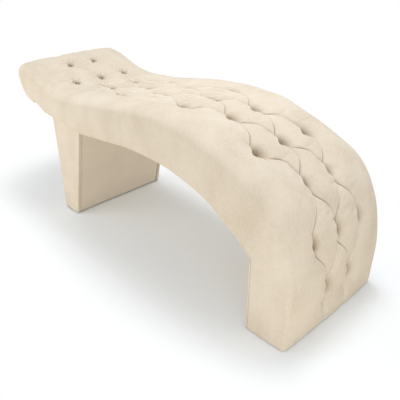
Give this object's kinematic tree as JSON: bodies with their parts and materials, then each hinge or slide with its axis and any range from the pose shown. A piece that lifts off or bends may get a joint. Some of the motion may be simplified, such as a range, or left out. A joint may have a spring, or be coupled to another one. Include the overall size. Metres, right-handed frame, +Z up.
{
  "type": "curved tufted beauty bed",
  "caption": "S-curved treatment bed: a deep-tufted velvet top that rolls down to a full-width foot, with a tapered box leg under the head end.",
  "frame": {"origin": "on the floor, under the middle of the bed", "axes": "+X along the bed towards its foot, +Y across its width, +Z up"},
  "size_m": [1.8181, 0.6, 0.7381],
  "materials": {
    "velvet": "short-pile cream velvet",
    "foam": "upholstery foam",
    "plywood": "raw plywood",
    "softwood": "raw softwood",
    "hardboard": "raw hardboard",
    "zinc_steel": "zinc plated",
    "black_plastic": "matt"
  },
  "bodies": {
    "root": {"velvet_cover": "velvet", "foam_pad": "foam", "side_foam_left": "foam", "side_foam_right": "foam", "underside_cover": "velvet", "button_1_1": "velvet", "button_1_2": "velvet", "button_2_1": "velvet", "button_2_2": "velvet", "button_2_3": "velvet", "button_3_1": "velvet", "button_3_2": "velvet", "button_4_1": "velvet", "button_4_2": "velvet", "button_4_3": "velvet", "button_5_1": "velvet", "button_5_2": "velvet", "button_6_1": "velvet", "button_6_2": "velvet", "button_6_3": "velvet", "button_7_1": "velvet", "button_7_2": "velvet", "button_8_1": "velvet", "button_8_2": "velvet", "button_8_3": "velvet", "button_9_1": "velvet", "button_9_2": "velvet", "button_10_1": "velvet", "button_10_2": "velvet", "button_10_3": "velvet", "button_11_1": "velvet", "button_11_2": "velvet", "side_board_left": "plywood", "side_board_right": "plywood", "head_panel": "plywood", "deck": "plywood", "head_rail": "softwood", "cross_rail_1": "softwood", "cross_rail_2": "softwood", "cross_rail_3": "softwood", "underside_panel": "hardboard", "foot_inner_panel": "hardboard", "base_board": "plywood", "leg_side_left": "plywood", "leg_side_right": "plywood", "leg_head_panel": "plywood", "leg_foot_panel": "plywood", "leg_top_plate": "plywood", "leg_cover": "velvet", "leg_mount_board": "plywood", "leg_bolt_1": "zinc_steel", "leg_bolt_2": "zinc_steel", "leg_bolt_3": "zinc_steel", "leg_bolt_4": "zinc_steel", "glide_1": "black_plastic", "glide_2": "black_plastic", "glide_3": "black_plastic", "glide_4": "black_plastic", "glide_5": "black_plastic", "glide_6": "black_plastic"}
  },
  "joints": []
}
